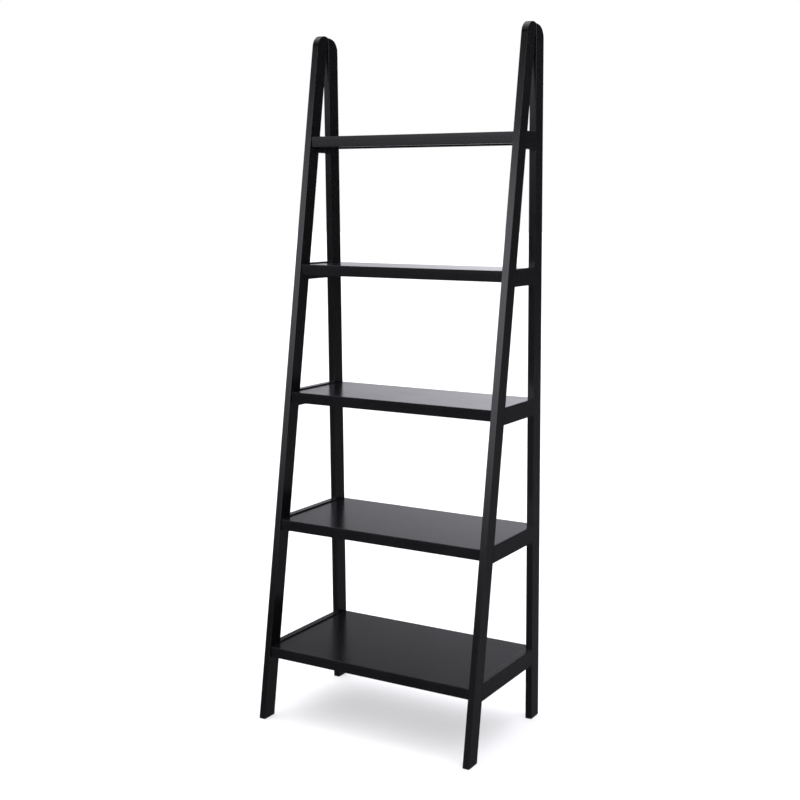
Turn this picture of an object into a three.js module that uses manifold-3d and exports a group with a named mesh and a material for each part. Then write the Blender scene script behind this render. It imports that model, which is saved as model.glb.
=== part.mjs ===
// A free-standing A-frame ladder shelf. Two side frames, each a leaning front leg and a nearly upright rear
// leg joined by rails, carry shelves that get deeper towards the floor.
// Millimetres. +X is to the right, +Y to the back and +Z up. The origin is on the floor, in the middle of the
// footprint.
import * as THREE from "three";
import { mergeVertices } from "three/addons/utils/BufferGeometryUtils.js";
import Module from "manifold-3d";

const wasm = await Module();
wasm.setup();

// Driving sizes: the whole object.
const overallHeight = 1829;
const overallWidth = 636.6;
const footprintDepth = 413.4;
const shelfCount = 5;
const bottomShelfHeight = 194; // floor to the top of the lowest shelf
const topShelfDrop = 271; // tips of the legs to the top of the highest shelf

// Driving sizes: the side frames.
const boardThickness = 18.3; // legs and rails, across X
const legDepth = 44.4; // across a leg, square to its length
const rearLegLean = THREE.MathUtils.degToRad(1.39); // towards the front
const tipGap = 2; // between the two legs of a frame, at the tips
const headRadius = 34; // outer corners of the leg tips
const tipEase = 3; // inner corners of the leg tips
const railHeight = 44.4;
const railLip = 3.2; // top of a rail above its shelf
const edgeEase = 1.2; // rounded long edges of legs and rails
const footEase = 1.5; // rounded ends of the leg's bottom face

// Driving sizes: the mortise and tenon joints of the rails.
const tenonLength = 20;
const tenonThickness = 8;
const tenonShoulder = 7; // above and below a tenon

// Driving sizes: the shelves.
const panelThickness = 12;
const apronThickness = 18;
const apronHeight = 16.2;
const cleatThickness = 16;
const cleatRecess = 1.5; // bottom of a cleat above the bottom of the aprons
const frontSetback = 2.3; // shelf edge behind the front leg's front face, at the shelf's top
const backSetback = 6.9; // shelf edge in front of the rear leg's rear face, at the shelf's top
const shelfEase = 1.5; // rounded long edges of panels and aprons

// Driving sizes: the screws that hold each shelf to its rails.
const screwRadius = 2.1;
const screwHeadRadius = 4.1;
const screwHeadHeight = 2.6;
const screwHeadRim = 0.9; // straight side of the head, below its dome
const screwBite = 12; // length inside the rail
const screwTip = 4;
const screwInset = 13; // from the end of a rail
const recessWidth = 1;
const recessSpan = 4.2;
const recessDepth = 1.3;

// Clearances.
const gap = 0.3; // between pieces that touch
const pilotExtra = 0.8; // pilot hole beyond the screw's point
const overrun = 1; // how far a cutting shape runs past the face it cuts
const tenonRoot = 3; // how far a tenon reaches back into its rail

// Resolution of round shapes.
const easeSteps = 2; // fewest flats in a rounded corner
const flatLength = 4.5; // longest flat in a rounded corner
const domeSteps = 3;
const screwSides = 14;
const holeSides = 16;

// Worked out from the driving sizes.
const halfDepth = footprintDepth / 2;
const shelfPitch = (overallHeight - topShelfDrop - bottomShelfHeight) / (shelfCount - 1);
const frameOffset = (overallWidth - boardThickness) / 2;
const shelfLength = overallWidth - 2 * boardThickness - 2 * gap;
const shelfThickness = panelThickness + gap + apronHeight;
const screwLevel = panelThickness + gap + (apronHeight - cleatRecess) / 2; // below the shelf's top

// The front leg leans until its rear face is tipGap away from the rear leg at the tips.
const rearFaceAtTip = halfDepth - Math.tan(rearLegLean) * overallHeight;
const tipReach = rearFaceAtTip - legDepth / Math.cos(rearLegLean) - tipGap + halfDepth;
const frontLegLean =
  Math.atan2(tipReach, overallHeight) - Math.asin(legDepth / Math.hypot(tipReach, overallHeight));

// Where the faces of the legs are, at height z.
const frontLegFront = (z) => -halfDepth + Math.tan(frontLegLean) * z;
const frontLegRear = (z) => frontLegFront(z) + legDepth / Math.cos(frontLegLean);
const rearLegRear = (z) => halfDepth - Math.tan(rearLegLean) * z;
const rearLegFront = (z) => rearLegRear(z) - legDepth / Math.cos(rearLegLean);

const shelfHeight = (level) => bottomShelfHeight + (level - 1) * shelfPitch;

// Finishes.
const frameLacquer = new THREE.MeshStandardMaterial({ color: 0x141415, roughness: 0.35, metalness: 0 });
const shelfLacquer = new THREE.MeshStandardMaterial({ color: 0x18181b, roughness: 0.3, metalness: 0 });
const hiddenLacquer = new THREE.MeshStandardMaterial({ color: 0x161616, roughness: 0.6, metalness: 0 });
const blackSteel = new THREE.MeshStandardMaterial({ color: 0x2a2a2c, roughness: 0.45, metalness: 1 });

// A closed outline in the YZ plane, counterclockwise seen from +X. Each corner is [y, z, radius].
function roundedOutline(corners) {
  const points = [];
  corners.forEach(([y, z, radius = 0], index) => {
    const corner = new THREE.Vector2(y, z);
    if (radius === 0) {
      points.push(corner);
      return;
    }
    const [beforeY, beforeZ] = corners[(index + corners.length - 1) % corners.length];
    const [afterY, afterZ] = corners[(index + 1) % corners.length];
    const toBefore = new THREE.Vector2(beforeY, beforeZ).sub(corner).normalize();
    const toAfter = new THREE.Vector2(afterY, afterZ).sub(corner).normalize();
    const halfAngle = Math.acos(toBefore.dot(toAfter)) / 2;
    const bisector = toBefore.clone().add(toAfter).normalize();
    const centre = corner.clone().addScaledVector(bisector, radius / Math.sin(halfAngle));
    const tangentLength = radius / Math.tan(halfAngle);
    const start = corner.clone().addScaledVector(toBefore, tangentLength).sub(centre);
    const turn = Math.PI - 2 * halfAngle;
    const steps = Math.max(easeSteps, Math.ceil((turn * radius) / flatLength));
    for (let step = 0; step <= steps; step += 1) {
      const swung = start.clone().rotateAround(new THREE.Vector2(), (turn * step) / steps);
      points.push(swung.add(centre));
    }
  });
  return points;
}

// Turns a shape drawn in XY and extruded along Z into one drawn in YZ and extruded along X.
const drawnInYZ = new THREE.Matrix4().makeBasis(
  new THREE.Vector3(0, 1, 0),
  new THREE.Vector3(0, 0, 1),
  new THREE.Vector3(1, 0, 0),
);

// A board with that outline, its thickness along X and centred on x = 0, with its side edges rounded by ease.
function board(outline, thickness, ease = 0) {
  const geometry = new THREE.ExtrudeGeometry(new THREE.Shape(outline), {
    depth: thickness - 2 * ease,
    bevelEnabled: ease > 0,
    bevelThickness: ease,
    bevelSize: ease,
    bevelOffset: -ease,
    bevelSegments: easeSteps,
  });
  return geometry.translate(0, 0, ease - thickness / 2).applyMatrix4(drawnInYZ);
}

// A straight hole or bar of round section along X, from x = 0 to x = length.
function roundBar(radius, length, sides) {
  const geometry = new THREE.CylinderGeometry(radius, radius, length, sides);
  return geometry.rotateZ(Math.PI / 2).translate(length / 2, 0, 0);
}

function solidOf(geometry) {
  const bare = geometry.clone();
  bare.deleteAttribute("normal");
  bare.deleteAttribute("uv");
  const merged = mergeVertices(bare);
  const corners = [];
  for (let i = 0; i < merged.index.count; i += 3) {
    const [a, b, c] = [0, 1, 2].map((k) => merged.index.getX(i + k));
    if (a !== b && b !== c && c !== a) {
      corners.push(a, b, c);
    }
  }
  const vertProperties = new Float32Array(merged.attributes.position.array);
  const triVerts = new Uint32Array(corners);
  return new wasm.Manifold(new wasm.Mesh({ numProp: 3, vertProperties, triVerts }));
}

function geometryOf(solid) {
  const { vertProperties, triVerts } = solid.getMesh();
  const geometry = new THREE.BufferGeometry();
  geometry.setAttribute("position", new THREE.BufferAttribute(vertProperties, 3));
  geometry.setIndex(new THREE.BufferAttribute(triVerts, 1));
  const faceted = geometry.toNonIndexed();
  faceted.computeVertexNormals();
  return faceted;
}

function cut(body, tools) {
  return tools.reduce((solid, tool) => solid.subtract(solidOf(tool)), body);
}

function piece(name, geometry, material) {
  const mesh = new THREE.Mesh(geometry, material);
  mesh.name = name;
  return mesh;
}

// The outline of a tenon under a rail's top. It runs into a leg from the leg's face, towards direction (-1
// for a front leg, +1 for a rear leg), and back out of the face by root. Its top, bottom and end grow by extra.
function tenonOutline(top, face, direction, root, extra) {
  const high = top - tenonShoulder + extra;
  const low = top - railHeight + tenonShoulder - extra;
  const deep = (z) => face(z) + direction * (tenonLength + extra);
  const near = (z) => face(z) - direction * root;
  const corners = [
    [near(low), low],
    [deep(low), low],
    [deep(high), high],
    [near(high), high],
  ];
  return roundedOutline(direction > 0 ? corners : corners.reverse());
}

// The rail tops, as heights above the floor.
const railTops = Array.from({ length: shelfCount }, (_, index) => shelfHeight(index + 1) + railLip);

// The tips are cut along one line, square to the front leg, that ends the front leg at overallHeight.
const tipCorner = overallHeight + headRadius * (Math.sin(frontLegLean) + Math.cos(frontLegLean) - 1);
const tipLine = (y) => tipCorner - Math.tan(frontLegLean) * (y - frontLegFront(tipCorner));

// The point where the tip line meets a leg's face.
function tipOf(face) {
  const slope = face(1) - face(0);
  const fall = Math.tan(frontLegLean);
  const z = (tipLine(0) - fall * face(0)) / (1 + fall * slope);
  return [face(z), z];
}

function mortises(face, direction) {
  const width = tenonThickness + 2 * gap;
  const root = edgeEase + overrun;
  return railTops.map((top) => board(tenonOutline(top, face, direction, root, gap), width));
}

function frontLeg(name) {
  const outline = roundedOutline([
    [frontLegFront(0), 0, footEase],
    [frontLegRear(0), 0, footEase],
    [...tipOf(frontLegRear), tipEase],
    [...tipOf(frontLegFront), headRadius],
  ]);
  const body = solidOf(board(outline, boardThickness, edgeEase));
  return piece(name, geometryOf(cut(body, mortises(frontLegRear, -1))), frameLacquer);
}

function rearLeg(name) {
  const outline = roundedOutline([
    [rearLegFront(0), 0, footEase],
    [rearLegRear(0), 0, footEase],
    [...tipOf(rearLegRear), headRadius],
    [...tipOf(rearLegFront), tipEase],
  ]);
  const body = solidOf(board(outline, boardThickness, edgeEase));
  return piece(name, geometryOf(cut(body, mortises(rearLegFront, 1))), frameLacquer);
}

// Where the two screws of a shelf's end are, from front to back.
function screwPlaces(level) {
  const height = shelfHeight(level) - screwLevel;
  return {
    front: [frontLegRear(height) + screwInset, height],
    back: [rearLegFront(height) - screwInset, height],
  };
}

// A rail between the legs, with a tenon at each end and pilot holes in its inner face. It is cut from a
// longer bar, so that its long edges are rounded and its ends, which follow the slopes of the legs, are not.
function sideRail(name, side, level) {
  const top = shelfHeight(level) + railLip;
  const bottom = top - railHeight;
  const barEnd = edgeEase + overrun;
  const bar = roundedOutline([
    [frontLegFront(bottom) - barEnd, bottom],
    [rearLegRear(bottom) + barEnd, bottom],
    [rearLegRear(bottom) + barEnd, top],
    [frontLegFront(bottom) - barEnd, top],
  ]);
  const span = roundedOutline([
    [frontLegRear(bottom - overrun) + gap, bottom - overrun],
    [rearLegFront(bottom - overrun) - gap, bottom - overrun],
    [rearLegFront(top + overrun) - gap, top + overrun],
    [frontLegRear(top + overrun) + gap, top + overrun],
  ]);
  const between = solidOf(board(span, boardThickness + 2 * overrun));
  const cutBar = solidOf(board(bar, boardThickness, edgeEase)).intersect(between);
  const frontTenon = board(tenonOutline(top, frontLegRear, -1, tenonRoot, 0), tenonThickness);
  const backTenon = board(tenonOutline(top, rearLegFront, 1, tenonRoot, 0), tenonThickness);
  const body = cutBar.add(solidOf(frontTenon)).add(solidOf(backTenon));
  const pilotStart = boardThickness / 2 - screwBite - pilotExtra;
  const pilots = Object.values(screwPlaces(level)).map(([y, z]) => {
    const pilot = roundBar(screwRadius + gap, screwBite + pilotExtra + overrun, holeSides);
    return pilot.translate(pilotStart, 0, 0).rotateZ(side > 0 ? Math.PI : 0).translate(0, y, z);
  });
  return piece(name, geometryOf(cut(body, pilots)), frameLacquer);
}

// The front and back edges of a shelf, as distances along Y.
function shelfEdges(level) {
  const height = shelfHeight(level);
  return [frontLegFront(height) + frontSetback, rearLegRear(height) - backSetback];
}

function shelfPanel(name, level) {
  const [front, back] = shelfEdges(level);
  const outline = roundedOutline([
    [front, -panelThickness],
    [back, -panelThickness],
    [back, 0, shelfEase],
    [front, 0, shelfEase],
  ]);
  return piece(name, board(outline, shelfLength), shelfLacquer);
}

// An apron under the front (direction -1) or back (direction +1) edge of a shelf.
function apron(name, level, direction) {
  const [front, back] = shelfEdges(level);
  const near = direction < 0 ? front : back - apronThickness;
  const outline = roundedOutline([
    [near, -shelfThickness, shelfEase],
    [near + apronThickness, -shelfThickness, shelfEase],
    [near + apronThickness, -panelThickness - gap],
    [near, -panelThickness - gap],
  ]);
  return piece(name, board(outline, shelfLength), shelfLacquer);
}

// A cleat across the end of a shelf, between the aprons, drilled for the screws.
function endCleat(name, side, level) {
  const [front, back] = shelfEdges(level);
  const outline = roundedOutline([
    [front + apronThickness + gap, -shelfThickness + cleatRecess],
    [back - apronThickness - gap, -shelfThickness + cleatRecess],
    [back - apronThickness - gap, -panelThickness - gap],
    [front + apronThickness + gap, -panelThickness - gap],
  ]);
  const holes = Object.values(screwPlaces(level)).map(([y]) => {
    const hole = roundBar(screwRadius + gap, cleatThickness + 2 * overrun, holeSides);
    return hole.translate(-cleatThickness / 2 - overrun, y, -screwLevel);
  });
  const mesh = piece(name, geometryOf(cut(solidOf(board(outline, cleatThickness)), holes)), hiddenLacquer);
  mesh.position.x = (side * (shelfLength - cleatThickness)) / 2;
  return mesh;
}

// A dome-headed wood screw along X, with a cross recess: its head's underside at x = 0, its point towards +X.
function screwGeometry() {
  const length = cleatThickness + gap + screwBite;
  const profile = [
    new THREE.Vector2(0, -length),
    new THREE.Vector2(screwRadius, -length + screwTip),
    new THREE.Vector2(screwRadius, 0),
    new THREE.Vector2(screwHeadRadius, 0),
  ];
  for (let step = 0; step < domeSteps; step += 1) {
    const angle = (step / domeSteps) * (Math.PI / 2);
    const rise = (screwHeadHeight - screwHeadRim) * Math.sin(angle);
    profile.push(new THREE.Vector2(screwHeadRadius * Math.cos(angle), screwHeadRim + rise));
  }
  profile.push(new THREE.Vector2(0, screwHeadHeight));
  const turned = solidOf(new THREE.LatheGeometry(profile, screwSides));
  const slots = [
    [recessSpan, recessWidth],
    [recessWidth, recessSpan],
  ].map(([x, z]) => {
    const slot = new THREE.BoxGeometry(x, recessDepth + overrun, z);
    return slot.translate(0, screwHeadHeight + (overrun - recessDepth) / 2, 0);
  });
  return geometryOf(cut(turned, slots)).rotateZ(Math.PI / 2);
}

const ladderShelf = new THREE.Group();
const sides = { left: -1, right: 1 };
const screwShape = screwGeometry();

for (const [sideName, side] of Object.entries(sides)) {
  const sideFrame = new THREE.Group();
  sideFrame.position.x = side * frameOffset;
  sideFrame.add(frontLeg(`front_leg_${sideName}`), rearLeg(`rear_leg_${sideName}`));
  for (let level = 1; level <= shelfCount; level += 1) {
    sideFrame.add(sideRail(`side_rail_${sideName}_${level}`, side, level));
  }
  ladderShelf.add(sideFrame);
}

for (let level = 1; level <= shelfCount; level += 1) {
  const shelf = new THREE.Group();
  shelf.position.z = shelfHeight(level);
  shelf.add(shelfPanel(`shelf_panel_${level}`, level));
  shelf.add(apron(`front_apron_${level}`, level, -1), apron(`back_apron_${level}`, level, 1));
  for (const [sideName, side] of Object.entries(sides)) {
    shelf.add(endCleat(`end_cleat_${sideName}_${level}`, side, level));
    for (const [place, [y]] of Object.entries(screwPlaces(level))) {
      const screw = piece(`shelf_screw_${sideName}_${place}_${level}`, screwShape, blackSteel);
      screw.position.set(side * (shelfLength / 2 - cleatThickness - gap), y, -screwLevel);
      screw.rotation.z = side > 0 ? 0 : Math.PI;
      shelf.add(screw);
    }
  }
  ladderShelf.add(shelf);
}

export default ladderShelf;
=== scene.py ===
import math

import bmesh
import bpy
from mathutils import Matrix, Vector


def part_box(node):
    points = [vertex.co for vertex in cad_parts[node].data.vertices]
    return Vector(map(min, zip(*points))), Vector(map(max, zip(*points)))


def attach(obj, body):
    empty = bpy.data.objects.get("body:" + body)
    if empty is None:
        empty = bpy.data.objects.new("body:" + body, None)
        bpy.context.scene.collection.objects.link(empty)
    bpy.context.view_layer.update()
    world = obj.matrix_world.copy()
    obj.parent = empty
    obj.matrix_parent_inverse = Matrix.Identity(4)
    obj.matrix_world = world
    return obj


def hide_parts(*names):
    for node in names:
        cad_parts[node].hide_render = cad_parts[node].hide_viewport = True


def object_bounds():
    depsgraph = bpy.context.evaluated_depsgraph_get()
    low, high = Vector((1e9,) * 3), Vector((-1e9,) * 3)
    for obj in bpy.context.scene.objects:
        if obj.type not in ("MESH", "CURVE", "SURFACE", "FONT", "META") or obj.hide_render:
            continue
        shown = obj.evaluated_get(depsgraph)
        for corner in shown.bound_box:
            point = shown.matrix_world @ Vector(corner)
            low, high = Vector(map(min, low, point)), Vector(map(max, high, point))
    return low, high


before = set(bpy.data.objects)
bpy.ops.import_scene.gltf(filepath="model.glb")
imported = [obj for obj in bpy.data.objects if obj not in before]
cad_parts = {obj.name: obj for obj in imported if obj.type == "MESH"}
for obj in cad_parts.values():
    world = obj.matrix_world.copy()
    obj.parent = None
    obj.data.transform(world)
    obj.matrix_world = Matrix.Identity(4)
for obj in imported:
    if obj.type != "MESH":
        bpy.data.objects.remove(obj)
cad_low, cad_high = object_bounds()
scene = bpy.context.scene
scene.view_settings.view_transform = "Standard"

SIDES = {"left": -1, "right": 1}
LEVELS = range(1, 6)

# Sizes of the boards that their boxes in the frame don't give.
LEG_DEPTH = 0.0444
HEAD_RADIUS = 0.034
TIP_EASE = 0.003
FOOT_EASE = 0.0015
EDGE_EASE = 0.0012
SHELF_EASE = 0.0015
FRONT_SETBACK = 0.0023
BACK_SETBACK = 0.0069
GAP = 0.0003
TENON_LENGTH = 0.020
TENON_THICKNESS = 0.008
TENON_SHOULDER = 0.007

# Sizes of the screws.
SCREW_HEAD_HEIGHT = 0.0026
SCREW_HEAD_RIM = 0.0009
SCREW_HEAD_RADIUS = 0.0041
SCREW_RADIUS = 0.0021
SCREW_ROOT = 0.0015
SCREW_LENGTH = 0.0283
SCREW_TIP = 0.004
THREAD_PITCH = 0.0018
RECESS_HALF_WIDTH = 0.0007
RECESS_DEPTH = 0.0013
PILOT_RADIUS = 0.0024
PILOT_DEPTH = 0.0128

# Shares of a screw's radius: the rings of its dome and the reach of its recess, of the head's, and what is
# left at the point, of the shank's.
DOME_SHARES = (0.12, 0.24, 0.36, 0.46, 0.56, 0.68, 0.82, 0.93, 1.0)
RECESS_REACH = 0.5
POINT_SHARE = 0.02

# An eased ring that is rubbed less than this is where the rounding runs out into a flat side.
LEAST_RUB = 0.001

# Edges that turn by more than this are shaded sharp.
SHARP_ANGLE = math.radians(50.0)
SCREW_SHARP_ANGLE = math.radians(38.0)

# Resolution of rounded shapes.
EASE_STEPS = 4
HEAD_STEPS = 26
HOLE_SIDES = 20
SCREW_SIDES = 24
THREAD_ROWS = 4


# The camera's place, and the angles in degrees that it is turned and tipped by.
CAMERA_PLACE = (1.6887, -2.9010, 1.3811)
CAMERA_YAW = -30.2355
CAMERA_PITCH = -7.7875
CAMERA_ROLL = 0.2072


def camera():
    """The camera in front of the shelf, to its right, above the middle."""
    data = bpy.data.cameras.new("camera")
    data.sensor_width = 36.0
    data.lens = 58.13
    data.shift_y = -0.025
    data.clip_end = 200.0
    yaw, pitch, roll = (math.radians(a) for a in (CAMERA_YAW, CAMERA_PITCH, CAMERA_ROLL))
    forward = Vector((math.sin(yaw) * math.cos(pitch), math.cos(yaw) * math.cos(pitch), math.sin(pitch)))
    level = Vector((math.cos(yaw), -math.sin(yaw), 0.0))
    upright = level.cross(forward)
    right = level * math.cos(roll) + upright * math.sin(roll)
    up = upright * math.cos(roll) - level * math.sin(roll)
    made = bpy.data.objects.new("camera", data)
    turned = Matrix((right, up, -forward)).transposed().to_4x4()
    made.matrix_world = Matrix.Translation(CAMERA_PLACE) @ turned
    scene.collection.objects.link(made)
    scene.camera = made


camera()


# ---------------------------------------------------------------- shader helpers

# The Mix node's colour sockets, by number, because each of its data types has sockets of the same names.
MIX_COLOUR_A = 6
MIX_COLOUR_B = 7
MIX_COLOUR_RESULT = 2


def node(tree, kind, **values):
    """A new node with those values on its inputs, whose spaces are underscores here, or on its properties."""
    made = tree.nodes.new(kind)
    for name, value in values.items():
        label = name.replace("_", " ")
        if label in made.inputs:
            made.inputs[label].default_value = value
        else:
            setattr(made, name, value)
    return made


def ramp(tree, factor, stops, blend="EASE"):
    """A colour ramp on factor. Each stop is (position, colour)."""
    made = node(tree, "ShaderNodeValToRGB")
    made.color_ramp.interpolation = blend
    elements = made.color_ramp.elements
    while len(elements) < len(stops):
        elements.new(0.5)
    for element, (position, colour) in zip(elements, stops):
        element.position = position
        element.color = (*colour, 1.0)
    tree.links.new(factor, made.inputs["Fac"])
    return made.outputs["Color"]


def stretched_noise(tree, scale, detail, roughness=0.5):
    """Noise over the object's own coordinates. scale is per metre along X, Y and Z."""
    place = node(tree, "ShaderNodeTexCoord")
    mapping = node(tree, "ShaderNodeMapping", Scale=scale)
    noise = node(tree, "ShaderNodeTexNoise", Scale=1.0, Detail=detail, Roughness=roughness)
    tree.links.new(place.outputs["Object"], mapping.inputs["Vector"])
    tree.links.new(mapping.outputs["Vector"], noise.inputs["Vector"])
    return noise.outputs["Fac"]


def fit(tree, value, low, high, source_low=0.3, source_high=0.7):
    """value from source_low..source_high, stretched to low..high."""
    ends = {"From_Min": source_low, "From_Max": source_high, "To_Min": low, "To_Max": high}
    made = node(tree, "ShaderNodeMapRange", **ends)
    tree.links.new(value, made.inputs["Value"])
    return made.outputs["Result"]


def calculate(tree, operation, a, b):
    """a and b, each a number or a socket, put together by a Math node."""
    made = node(tree, "ShaderNodeMath", operation=operation)
    for socket, value in zip(made.inputs, (a, b)):
        if isinstance(value, (int, float)):
            socket.default_value = value
        else:
            tree.links.new(value, socket)
    return made.outputs["Value"]


def mix_colours(tree, factor, a, b):
    """The sockets a and b mixed by factor. b may be a plain colour."""
    made = node(tree, "ShaderNodeMix", data_type="RGBA")
    tree.links.new(factor, made.inputs["Factor"])
    tree.links.new(a, made.inputs[MIX_COLOUR_A])
    if isinstance(b, tuple):
        made.inputs[MIX_COLOUR_B].default_value = (*b, 1.0)
    else:
        tree.links.new(b, made.inputs[MIX_COLOUR_B])
    return made.outputs[MIX_COLOUR_RESULT]


# ---------------------------------------------------------------- light and floor

# What the shelf mirrors, by height above the horizon in degrees: a bright wall of light in front, a pale wall
# behind to the left, and a dim side of the room to the right. The strengths are set one by one.
FRONT_LIGHT = [
    (-24, 0.07), (-16, 0.15), (-10, 0.17), (-6, 0.04), (-3, 0.03), (-1, 0.06), (1, 0.28), (2.5, 0.71),
    (4.5, 1.15), (7, 1.85), (11, 2.25), (15, 2.75), (17, 1.75), (18, 0.5), (19, 0.12), (21, 0.03),
]
LEFT_LIGHT = [
    (-24, 0.1), (-10, 0.3), (-3, 0.7), (2, 1.45), (9, 1.3), (13, 0.5), (17, 0.27), (21, 0.14), (28, 0.08),
]
RIGHT_LIGHT = [
    (-24, 0.09), (-20, 0.12), (-15, 0.11), (-10, 0.105), (-7, 0.09),
    (-4, 0.05), (0, 0.042), (7, 0.037), (28, 0.07),
]
LIGHT_TINT = (0.985, 0.97, 1.05)
HIGHEST = 30.0
BRIGHTEST = 3.0

# Where one wall gives way to the next, as values of x and y in a direction of unit length.
LEFT_X = -0.2
RIGHT_X = 0.25
FRONT_Y = -0.35
BACK_Y = 0.15

# The walls get brighter towards the right, between two values of x in a direction of unit length.
DIM_END = 0.64
BRIGHT_END = 1.2
DIM_X = -0.57
BRIGHT_X = -0.42

# The ceiling glows above the walls, from one height of a direction of unit length to another.
CEILING_GLOW = 60.0
GLOW_START = 0.58
GLOW_FULL = 0.8


def wall_of_light(tree, height, profile):
    """The colour of a wall at that height, 0 to 1 from HIGHEST below the horizon to HIGHEST above it."""
    stops = []
    for degrees, radiance in profile:
        share = radiance / BRIGHTEST
        stops.append(((degrees + HIGHEST) / (2 * HIGHEST), tuple(share * c for c in LIGHT_TINT)))
    return ramp(tree, height, stops)


def studio():
    """A soft, plain studio: white to the camera, with broad walls and a ceiling of light to mirror."""
    world = bpy.data.worlds.new("studio")
    scene.world = world
    world.use_nodes = True
    tree = world.node_tree
    tree.nodes.clear()
    place = node(tree, "ShaderNodeTexCoord")
    split = node(tree, "ShaderNodeSeparateXYZ")
    tree.links.new(place.outputs["Generated"], split.inputs["Vector"])
    x, y, z = (split.outputs[axis] for axis in "XYZ")
    angle = calculate(tree, "ARCSINE", z, 0.0)
    height = fit(tree, angle, 0.0, 1.0, -math.radians(HIGHEST), math.radians(HIGHEST))
    to_right = fit(tree, x, 0.0, 1.0, LEFT_X, RIGHT_X)
    to_front = fit(tree, y, 1.0, 0.0, FRONT_Y, BACK_Y)
    left, right, front = (wall_of_light(tree, height, w) for w in (LEFT_LIGHT, RIGHT_LIGHT, FRONT_LIGHT))
    room = mix_colours(tree, to_front, mix_colours(tree, to_right, left, right), front)
    across = fit(tree, x, DIM_END, BRIGHT_END, DIM_X, BRIGHT_X)
    glow = fit(tree, z, 0.0, CEILING_GLOW, GLOW_START, GLOW_FULL)
    mirrored = node(tree, "ShaderNodeBackground")
    tree.links.new(room, mirrored.inputs["Color"])
    strength = calculate(tree, "ADD", calculate(tree, "MULTIPLY", across, BRIGHTEST), glow)
    tree.links.new(strength, mirrored.inputs["Strength"])
    seen = node(tree, "ShaderNodeBackground", Color=(1.0, 1.0, 1.0, 1.0), Strength=1.0)
    path = node(tree, "ShaderNodeLightPath")
    choice = node(tree, "ShaderNodeMixShader")
    tree.links.new(path.outputs["Is Camera Ray"], choice.inputs["Fac"])
    tree.links.new(mirrored.outputs["Background"], choice.inputs[1])
    tree.links.new(seen.outputs["Background"], choice.inputs[2])
    output = node(tree, "ShaderNodeOutputWorld")
    tree.links.new(choice.outputs["Shader"], output.inputs["Surface"])


def overhead_light(name, energy, casts_shadows):
    """A very broad light from above that evens out the floor."""
    data = bpy.data.lights.new(name, "SUN")
    data.energy = energy
    data.angle = math.radians(80.0)
    data.use_shadow = casts_shadows
    made = bpy.data.objects.new(name, data)
    made.rotation_euler = (math.radians(12.0), math.radians(-10.0), 0.0)
    made.visible_glossy = False
    scene.collection.objects.link(made)


# The floor is just below the feet, so that they never share a surface with it.
FLOOR_RADIUS = 60.0
FLOOR_DROP = 0.0005


def floor():
    """A plain pale floor that the shelf doesn't mirror."""
    material = bpy.data.materials.new("floor_paint")
    material.use_nodes = True
    tree = material.node_tree
    shader = tree.nodes["Principled BSDF"]
    shader.inputs["Roughness"].default_value = 0.8
    shader.inputs["Specular IOR Level"].default_value = 0.2
    mottle = stretched_noise(tree, (1.5, 1.5, 1.5), 2.0)
    paint = ramp(tree, mottle, [(0.0, (0.86, 0.86, 0.87)), (1.0, (0.88, 0.88, 0.88))])
    tree.links.new(paint, shader.inputs["Base Color"])
    bm = bmesh.new()
    bmesh.ops.create_circle(bm, cap_ends=True, segments=96, radius=FLOOR_RADIUS)
    mesh = bpy.data.meshes.new("floor")
    bm.to_mesh(mesh)
    bm.free()
    mesh.materials.append(material)
    made = bpy.data.objects.new("floor", mesh)
    made.location.z = -FLOOR_DROP
    made.visible_glossy = False
    scene.collection.objects.link(made)


studio()
overhead_light("overhead", 0.3, True)
overhead_light("fill", 2.6, False)
floor()


# ---------------------------------------------------------------- finishes

# How many times the wood's pores vary in a metre, along its fibres and across them.
ALONG_FIBRES = 5.0
ACROSS_FIBRES = 420.0

# Rubbed edges show this colour, at most by this share, and are a little rougher.
WORN_COLOUR = (0.016, 0.015, 0.015)
WORN_SHARE = 0.4
WORN_ROUGHNESS = 0.06


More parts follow.
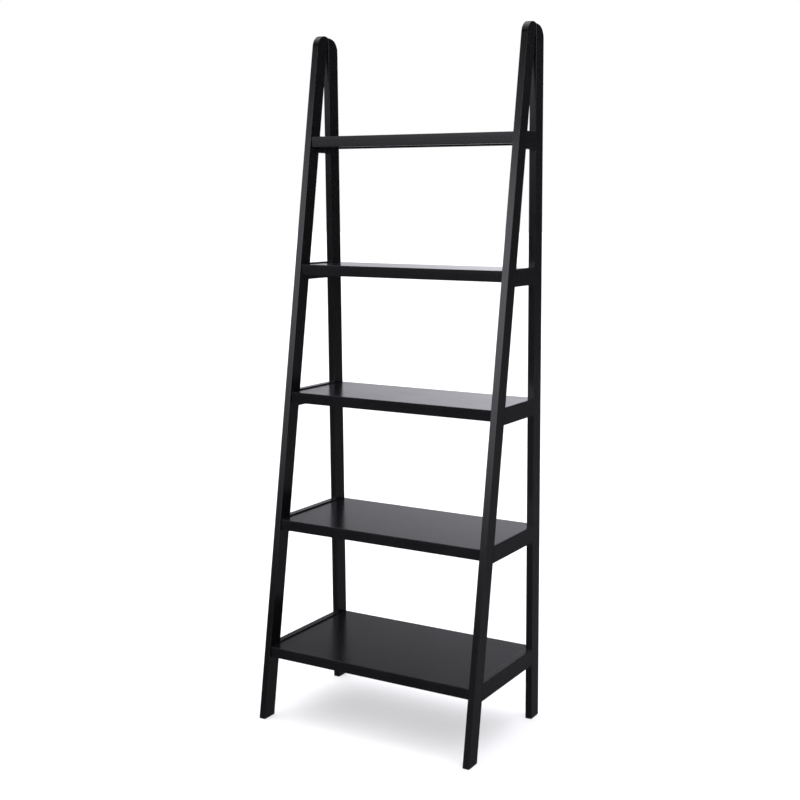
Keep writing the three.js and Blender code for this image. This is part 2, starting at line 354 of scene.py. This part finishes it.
def lacquer(name, grain, colour=(0.0030, 0.0029, 0.0035), roughness=0.22):
    """Satin black lacquer over fine-grained wood. grain is the axis, 0 to 2, that its fibres follow."""
    material = bpy.data.materials.new(name)
    material.use_nodes = True
    tree = material.node_tree
    shader = tree.nodes["Principled BSDF"]
    shader.inputs["IOR"].default_value = 1.5
    fibres = tuple(ALONG_FIBRES if axis == grain else ACROSS_FIBRES for axis in range(3))
    pores = stretched_noise(tree, fibres, 3.0, 0.6)
    cloud = stretched_noise(tree, (9.0, 9.0, 9.0), 3.0)
    peel = stretched_noise(tree, (300.0, 300.0, 300.0), 2.0)
    rubbed = node(tree, "ShaderNodeAttribute", attribute_name="wear").outputs["Fac"]
    patches = fit(tree, stretched_noise(tree, (34.0, 34.0, 34.0), 4.0), 0.15, 1.0, 0.38, 0.62)
    wear = calculate(tree, "MULTIPLY", rubbed, patches)

    dark = tuple(0.8 * c for c in colour)
    pale = tuple(1.25 * c for c in colour)
    tone = ramp(tree, cloud, [(0.3, dark), (0.7, pale)])
    worn = mix_colours(tree, calculate(tree, "MULTIPLY", wear, WORN_SHARE), tone, WORN_COLOUR)
    tree.links.new(worn, shader.inputs["Base Color"])

    sheen = fit(tree, cloud, roughness - 0.008, roughness + 0.008)
    streaks = fit(tree, pores, -0.015, 0.015)
    grained = calculate(tree, "ADD", sheen, streaks)
    scuffed = calculate(tree, "ADD", grained, calculate(tree, "MULTIPLY", wear, WORN_ROUGHNESS))
    tree.links.new(scuffed, shader.inputs["Roughness"])

    grain_bump = node(tree, "ShaderNodeBump", Strength=0.06, Distance=0.00006)
    tree.links.new(pores, grain_bump.inputs["Height"])
    peel_bump = node(tree, "ShaderNodeBump", Strength=0.15, Distance=0.00005)
    tree.links.new(peel, peel_bump.inputs["Height"])
    tree.links.new(grain_bump.outputs["Normal"], peel_bump.inputs["Normal"])
    tree.links.new(peel_bump.outputs["Normal"], shader.inputs["Normal"])
    return material


def black_steel(name):
    """Steel with a black oxide finish whose tone and gloss vary finely."""
    material = bpy.data.materials.new(name)
    material.use_nodes = True
    tree = material.node_tree
    shader = tree.nodes["Principled BSDF"]
    shader.inputs["Metallic"].default_value = 1.0
    fine = stretched_noise(tree, (900.0, 900.0, 900.0), 3.0)
    oxide = ramp(tree, fine, [(0.3, (0.035, 0.035, 0.038)), (0.7, (0.085, 0.083, 0.082))])
    tree.links.new(oxide, shader.inputs["Base Color"])
    tree.links.new(fit(tree, fine, 0.34, 0.46), shader.inputs["Roughness"])
    bump = node(tree, "ShaderNodeBump", Strength=0.2, Distance=0.00003)
    tree.links.new(fine, bump.inputs["Height"])
    tree.links.new(bump.outputs["Normal"], shader.inputs["Normal"])
    return material


finishes = {
    "leg_lacquer": lacquer("leg_lacquer", grain=2, roughness=0.19),
    "rail_lacquer": lacquer("rail_lacquer", grain=1),
    "shelf_lacquer": lacquer("shelf_lacquer", grain=0),
    "apron_lacquer": lacquer("apron_lacquer", grain=0),
    "cleat_lacquer": lacquer("cleat_lacquer", grain=1, colour=(0.007, 0.007, 0.0075), roughness=0.5),
    "screw_steel": black_steel("screw_steel"),
}


# ---------------------------------------------------------------- building boards

def rounded(corners, inset=0.0):
    """A closed outline with its sides moved in by inset.

    Returns its points, (u, v, wear), and each corner's run of points as (first, last). Each corner is
    (u, v, radius), and they go round counterclockwise. Wear is 1 in the middle of a small rounded corner, and
    0 where the corner runs out into a side.
    """
    points = []
    runs = []
    for index, (u, v, radius) in enumerate(corners):
        corner = Vector((u, v))
        before = (Vector(corners[index - 1][:2]) - corner).normalized()
        after = (Vector(corners[(index + 1) % len(corners)][:2]) - corner).normalized()
        half = before.angle(after) / 2
        bisector = (before + after).normalized()
        start = len(points)
        if radius == 0:
            moved = corner + bisector * (inset / math.sin(half))
            points.append((*moved, 0.0))
        else:
            centre = corner + bisector * (radius / math.sin(half))
            arm = (corner + before * (radius / math.tan(half)) - centre) * ((radius - inset) / radius)
            turn = math.pi - 2 * half
            steps = HEAD_STEPS if radius > 2 * TIP_EASE else EASE_STEPS
            for step in range(steps + 1):
                angle = turn * step / steps
                swung = Vector((
                    arm.x * math.cos(angle) - arm.y * math.sin(angle),
                    arm.x * math.sin(angle) + arm.y * math.cos(angle),
                ))
                wear = math.sin(math.pi * step / steps) if steps == EASE_STEPS else 0.0
                points.append((*(centre + swung), wear))
        runs.append((start, len(points) - 1))
    return points, runs


def eased_rings(low, high, ease):
    """The rings of a board with rounded side edges, from low to high, as (place, inset, wear)."""
    if ease == 0:
        return [(low, 0.0, 0.0), (high, 0.0, 0.0)]
    near = []
    for step in range(EASE_STEPS, -1, -1):
        angle = (step / EASE_STEPS) * math.pi / 2
        rise = ease * (1 - math.sin(angle))
        inset = ease * (1 - math.cos(angle))
        near.append((low + rise, inset, math.sin(2 * angle)))
    far = [(high - (place - low), inset, wear) for place, inset, wear in reversed(near)]
    return near + far


def add_point(bm, place, wear=0.0):
    vertex = bm.verts.new(place)
    vertex[bm.verts.layers.float["wear"]] = wear
    return vertex


def strip_with_pockets(bm, near, far, pockets):
    """Fills the flat strip between the edges near and far, each (start, end), round a row of pockets.

    A pocket is (first, near_side, last, far_side, depth): the ends of its mouth along the strip, the points
    of its mouth between them on each side, and the vector down to its bottom.
    """
    near_chain, far_chain = [], []
    for first, near_side, last, far_side, depth in pockets:
        a, b = add_point(bm, first), add_point(bm, last)
        near_points = [add_point(bm, p) for p in near_side]
        far_points = [add_point(bm, p) for p in far_side]
        mouth = [a, *near_points, b, *reversed(far_points)]
        bottom = [add_point(bm, v.co + depth) for v in mouth]
        for i, top in enumerate(mouth):
            j = (i + 1) % len(mouth)
            bm.faces.new((top, mouth[j], bottom[j], bottom[i]))
        bm.faces.new(bottom)
        near_chain += [a, *near_points, b]
        far_chain += [a, *far_points, b]
    bm.faces.new((near[0], near[1], *reversed(near_chain)))
    bm.faces.new((far[1], far[0], *far_chain))
    bm.faces.new((near[0], near_chain[0], far[0]))
    bm.faces.new((near[1], far[1], near_chain[-1]))


def finished_piece(name, bm, slot, *nodes):
    """Turns bm into a smoothly shaded piece that stands for those CAD nodes, with that slot's finish."""
    mesh = bpy.data.meshes.new(name)
    bm.to_mesh(mesh)
    bm.free()
    mesh.materials.append(finishes[slot])
    mesh.shade_smooth()
    mesh.set_sharp_from_angle(angle=SHARP_ANGLE)
    made = bpy.data.objects.new(name, mesh)
    scene.collection.objects.link(made)
    weighted = made.modifiers.new("even_shading", "WEIGHTED_NORMAL")
    weighted.keep_sharp = True
    weighted.weight = 80
    place_piece(made, slot, *nodes)


def place_piece(made, slot, *nodes):
    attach(made, "root")
    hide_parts(*nodes)


def board(corners, low, high, ease=0.0, jointed=None, pockets=()):
    """A board drawn in YZ, from x = low to high.

    pockets are cut into the side of the outline that starts at the corner with the number jointed.
    """
    bm = bmesh.new()
    bm.verts.layers.float.new("wear")
    rings = []
    for x, inset, rub in eased_rings(low, high, ease):
        points, runs = rounded(corners, inset)
        runs_out = ease > 0 and rub < LEAST_RUB
        ring = []
        for y, z, wear in points:
            ring.append(add_point(bm, (x, y, z), 0.0 if runs_out else max(wear, rub)))
        rings.append(ring)
    count = len(rings[0])
    flat = len(rings) // 2 - 1
    cut = runs[jointed][1] if jointed is not None else None
    for band, (ring, following) in enumerate(zip(rings, rings[1:])):
        for i in range(count):
            j = (i + 1) % count
            if band == flat and i == cut:
                strip_with_pockets(bm, (ring[i], ring[j]), (following[i], following[j]), pockets)
            else:
                bm.faces.new((ring[i], ring[j], following[j], following[i]))
    bm.faces.new(reversed(rings[0]))
    bm.faces.new(rings[-1])
    return bm


# ---------------------------------------------------------------- where the legs are

low_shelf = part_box("shelf_panel_1")
high_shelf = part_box("shelf_panel_5")
shelf_rise = high_shelf[1].z - low_shelf[1].z
front_slope = (high_shelf[0].y - low_shelf[0].y) / shelf_rise
rear_slope = (high_shelf[1].y - low_shelf[1].y) / shelf_rise
front_reach = LEG_DEPTH * math.hypot(1.0, front_slope)
rear_reach = LEG_DEPTH * math.hypot(1.0, rear_slope)


# The faces of the legs, each as y at a height z.

def front_leg_front(z):
    return low_shelf[0].y - FRONT_SETBACK + front_slope * (z - low_shelf[1].z)


def front_leg_rear(z):
    return front_leg_front(z) + front_reach


def rear_leg_rear(z):
    return low_shelf[1].y + BACK_SETBACK + rear_slope * (z - low_shelf[1].z)


def rear_leg_front(z):
    return rear_leg_rear(z) - rear_reach


# The tips of both legs are cut along one line, square to the front leg.
front_lean = math.atan(front_slope)
tip_corner = cad_high.z + HEAD_RADIUS * (math.sin(front_lean) + math.cos(front_lean) - 1)


def tip_of(face):
    """Where the line of the tips meets a leg's face."""
    slope = face(1.0) - face(0.0)
    z = tip_corner - front_slope * (face(0.0) - front_leg_front(tip_corner))
    z /= 1 + front_slope * slope
    return face(z), z


def rail_box(side_name, level):
    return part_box(f"side_rail_{side_name}_{level}")


def mortises(side_name, face, direction, upwards):
    """The pockets for the rails' tenons in a leg's face, in the order in which the outline passes them."""
    leg_low, leg_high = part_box(f"front_leg_{side_name}")
    centre = (leg_low.x + leg_high.x) / 2
    half = TENON_THICKNESS / 2 + GAP
    depth = Vector((0.0, direction * (TENON_LENGTH + GAP), 0.0))
    made = []
    for level in LEVELS:
        rail_low, rail_high = rail_box(side_name, level)
        ends = [rail_low.z + TENON_SHOULDER - GAP, rail_high.z - TENON_SHOULDER + GAP]
        if not upwards:
            ends.reverse()
        first, last = (Vector((centre, face(z), z)) for z in ends)
        aside = Vector((half, 0.0, 0.0))
        made.append((first, [first - aside, last - aside], last, [first + aside, last + aside], depth))
    return made if upwards else made[::-1]


def build_legs(side_name):
    low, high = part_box(f"front_leg_{side_name}")
    front = [
        (front_leg_front(0.0), 0.0, FOOT_EASE),
        (front_leg_rear(0.0), 0.0, FOOT_EASE),
        (*tip_of(front_leg_rear), TIP_EASE),
        (*tip_of(front_leg_front), HEAD_RADIUS),
    ]
    pockets = mortises(side_name, front_leg_rear, -1, upwards=True)
    bm = board(front, low.x, high.x, EDGE_EASE, jointed=1, pockets=pockets)
    finished_piece(f"front_leg_{side_name}_board", bm, "leg_lacquer", f"front_leg_{side_name}")
    rear = [
        (rear_leg_front(0.0), 0.0, FOOT_EASE),
        (rear_leg_rear(0.0), 0.0, FOOT_EASE),
        (*tip_of(rear_leg_rear), HEAD_RADIUS),
        (*tip_of(rear_leg_front), TIP_EASE),
    ]
    pockets = mortises(side_name, rear_leg_front, 1, upwards=False)
    bm = board(rear, low.x, high.x, EDGE_EASE, jointed=3, pockets=pockets)
    finished_piece(f"rear_leg_{side_name}_board", bm, "leg_lacquer", f"rear_leg_{side_name}")


def pilot_hole(x, y, z, towards_near, depth):
    """A round pocket in a rail's inner face. towards_near points up or down, to the strip's near edge."""
    first, last = Vector((x, y - PILOT_RADIUS, z)), Vector((x, y + PILOT_RADIUS, z))
    sides = []
    for way in (towards_near, -towards_near):
        arc = []
        for step in range(1, HOLE_SIDES // 2):
            angle = math.pi * step / (HOLE_SIDES // 2)
            along = PILOT_RADIUS * math.cos(angle)
            aside = PILOT_RADIUS * math.sin(angle)
            arc.append(Vector((x, y - along, z + way * aside)))
        sides.append(arc)
    return first, sides[0], last, sides[1], depth


def pilot_holes(side_name, level, inner_x):
    """The pilot holes for a rail's two screws, from front to back."""
    side = SIDES[side_name]
    holes = []
    for place in ("front", "back"):
        low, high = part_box(f"shelf_screw_{side_name}_{place}_{level}")
        y, z = (low.y + high.y) / 2, (low.z + high.z) / 2
        holes.append(pilot_hole(inner_x, y, z, side, Vector((side * PILOT_DEPTH, 0.0, 0.0))))
    return holes


def add_tenon(bm, tenon, ring, runs, face, direction):
    """Closes a rail's end, which has the points of ring, round a tenon that reaches through a leg's face.

    tenon is its section, as (x, z), with a corner for each of the runs of ring's points, and direction is
    the way it points along Y.
    """
    middles = [(first + last) // 2 for first, last in runs]
    roots = [add_point(bm, (x, face(z) - direction * GAP, z)) for x, z in tenon]
    tips = [add_point(bm, (x, face(z) + direction * TENON_LENGTH, z)) for x, z in tenon]
    faces = []
    for k in range(4):
        following = (k + 1) % 4
        stop = middles[following] + (len(ring) if following == 0 else 0)
        shoulder = [ring[i % len(ring)] for i in range(middles[k], stop + 1)]
        faces.append([*shoulder, roots[following], roots[k]])
        faces.append([roots[k], roots[following], tips[following], tips[k]])
    faces.append(tips)
    for corners in faces:
        bm.faces.new(corners if direction < 0 else corners[::-1])


def box_outline(low_u, high_u, low_v, high_v, low_ease, high_ease):
    """A rectangle's corners, (u, v, radius), with one radius along its bottom and one along its top."""
    return [
        (low_u, low_v, low_ease),
        (high_u, low_v, low_ease),
        (high_u, high_v, high_ease),
        (low_u, high_v, high_ease),
    ]


def build_rail(side_name, level):
    """A rail between the legs, with a tenon at each end and two pilot holes in its inner face."""
    side = SIDES[side_name]
    name = f"side_rail_{side_name}_{level}"
    low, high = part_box(name)
    bm = bmesh.new()
    bm.verts.layers.float.new("wear")
    points, runs = rounded(box_outline(low.x, high.x, low.z, high.z, EDGE_EASE, EDGE_EASE))
    starts = [add_point(bm, (x, front_leg_rear(z) + GAP, z), wear) for x, z, wear in points]
    ends = [add_point(bm, (x, rear_leg_front(z) - GAP, z), wear) for x, z, wear in points]
    # The side of the section that is the inner face starts at this corner.
    inner = 1 if side < 0 else 3
    cut = runs[inner][1]
    holes = pilot_holes(side_name, level, high.x if side < 0 else low.x)
    for i in range(len(points)):
        j = (i + 1) % len(points)
        if i == cut:
            strip_with_pockets(bm, (starts[i], ends[i]), (starts[j], ends[j]), holes)
        else:
            bm.faces.new((starts[i], ends[i], ends[j], starts[j]))

    centre = (low.x + high.x) / 2
    tenon = [
        (centre - TENON_THICKNESS / 2, low.z + TENON_SHOULDER),
        (centre + TENON_THICKNESS / 2, low.z + TENON_SHOULDER),
        (centre + TENON_THICKNESS / 2, high.z - TENON_SHOULDER),
        (centre - TENON_THICKNESS / 2, high.z - TENON_SHOULDER),
    ]
    add_tenon(bm, tenon, starts, runs, front_leg_rear, -1)
    add_tenon(bm, tenon, ends, runs, rear_leg_front, 1)
    finished_piece(f"{name}_bar", bm, "rail_lacquer", name)


def build_shelf(level):
    """A shelf's panel, with the tops of its long edges rounded, and the aprons under those edges."""
    name = f"shelf_panel_{level}"
    low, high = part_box(name)
    outline = box_outline(low.y, high.y, low.z, high.z, 0.0, SHELF_EASE)
    finished_piece(f"{name}_board", board(outline, low.x, high.x), "shelf_lacquer", name)
    for place in ("front", "back"):
        name = f"{place}_apron_{level}"
        low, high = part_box(name)
        outline = box_outline(low.y, high.y, low.z, high.z, SHELF_EASE, 0.0)
        finished_piece(f"{name}_board", board(outline, low.x, high.x), "apron_lacquer", name)


def circle(x, radius):
    """The points of a circle round the X axis."""
    angles = [2 * math.pi * i / SCREW_SIDES for i in range(SCREW_SIDES)]
    return [(x, radius * math.cos(a), radius * math.sin(a)) for a in angles]


def head_rings():
    """A screw's dome, from its middle out, with a cross recess that gets shallower outwards, and its rim."""
    rings = []
    for share in DOME_SHARES:
        rise = (SCREW_HEAD_HEIGHT - SCREW_HEAD_RIM) * math.sqrt(1 - share * share)
        dome = SCREW_HEAD_RIM + rise
        ring = []
        for _, y, z in circle(0.0, SCREW_HEAD_RADIUS * share):
            in_slot = min(abs(y), abs(z)) < RECESS_HALF_WIDTH and share < RECESS_REACH
            sunk = RECESS_DEPTH * (1 - share) if in_slot else 0.0
            ring.append((-(dome - sunk), y, z))
        rings.append(ring)
    rings.append(circle(0.0, SCREW_HEAD_RADIUS))
    return rings


def thread_rings():
    """A screw's shank, with a ridge that winds down it and dies out towards the point."""
    rings = []
    rows = round(SCREW_LENGTH / THREAD_PITCH * THREAD_ROWS)
    for row in range(rows + 1):
        x = SCREW_LENGTH * row / rows
        taper = min(1.0, max(POINT_SHARE, (SCREW_LENGTH - x) / SCREW_TIP))
        ring = []
        for i, (_, y, z) in enumerate(circle(x, taper)):
            phase = (x / THREAD_PITCH - i / SCREW_SIDES) % 1.0
            ridge = max(0.0, 1.0 - 4.0 * abs(phase - 0.5))
            radius = SCREW_ROOT + (SCREW_RADIUS - SCREW_ROOT) * ridge
            ring.append((x, radius * y, radius * z))
        rings.append(ring)
    return rings


def screw_mesh():
    """A dome-headed wood screw along X: its head's underside at x = 0, its threaded point towards +X."""
    bm = bmesh.new()
    bm.verts.layers.float.new("wear")
    rings = [[add_point(bm, p) for p in ring] for ring in head_rings() + thread_rings()]
    crown = add_point(bm, (-(SCREW_HEAD_HEIGHT - RECESS_DEPTH), 0.0, 0.0))
    point = add_point(bm, (SCREW_LENGTH, 0.0, 0.0))
    for i in range(SCREW_SIDES):
        j = (i + 1) % SCREW_SIDES
        bm.faces.new((crown, rings[0][j], rings[0][i]))
        bm.faces.new((point, rings[-1][i], rings[-1][j]))
        for ring, following in zip(rings, rings[1:]):
            bm.faces.new((ring[i], ring[j], following[j], following[i]))
    mesh = bpy.data.meshes.new("shelf_screw")
    bm.to_mesh(mesh)
    bm.free()
    mesh.materials.append(finishes["screw_steel"])
    mesh.shade_smooth()
    mesh.set_sharp_from_angle(angle=SCREW_SHARP_ANGLE)
    return mesh


def build_screw(mesh, side_name, place, level):
    name = f"shelf_screw_{side_name}_{place}_{level}"
    low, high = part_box(name)
    side = SIDES[side_name]
    head = low.x if side > 0 else high.x
    made = bpy.data.objects.new(f"{name}_turned", mesh)
    made.location = (head + side * SCREW_HEAD_HEIGHT, (low.y + high.y) / 2, (low.z + high.z) / 2)
    made.rotation_euler.z = 0.0 if side > 0 else math.pi
    scene.collection.objects.link(made)
    place_piece(made, "screw_steel", name)


screw = screw_mesh()
for side_name in SIDES:
    build_legs(side_name)
    for level in LEVELS:
        build_rail(side_name, level)
        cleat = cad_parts[f"end_cleat_{side_name}_{level}"]
        cleat.data.materials.clear()
        cleat.data.materials.append(finishes["cleat_lacquer"])
        for place in ("front", "back"):
            build_screw(screw, side_name, place, level)

for level in LEVELS:
    build_shelf(level)
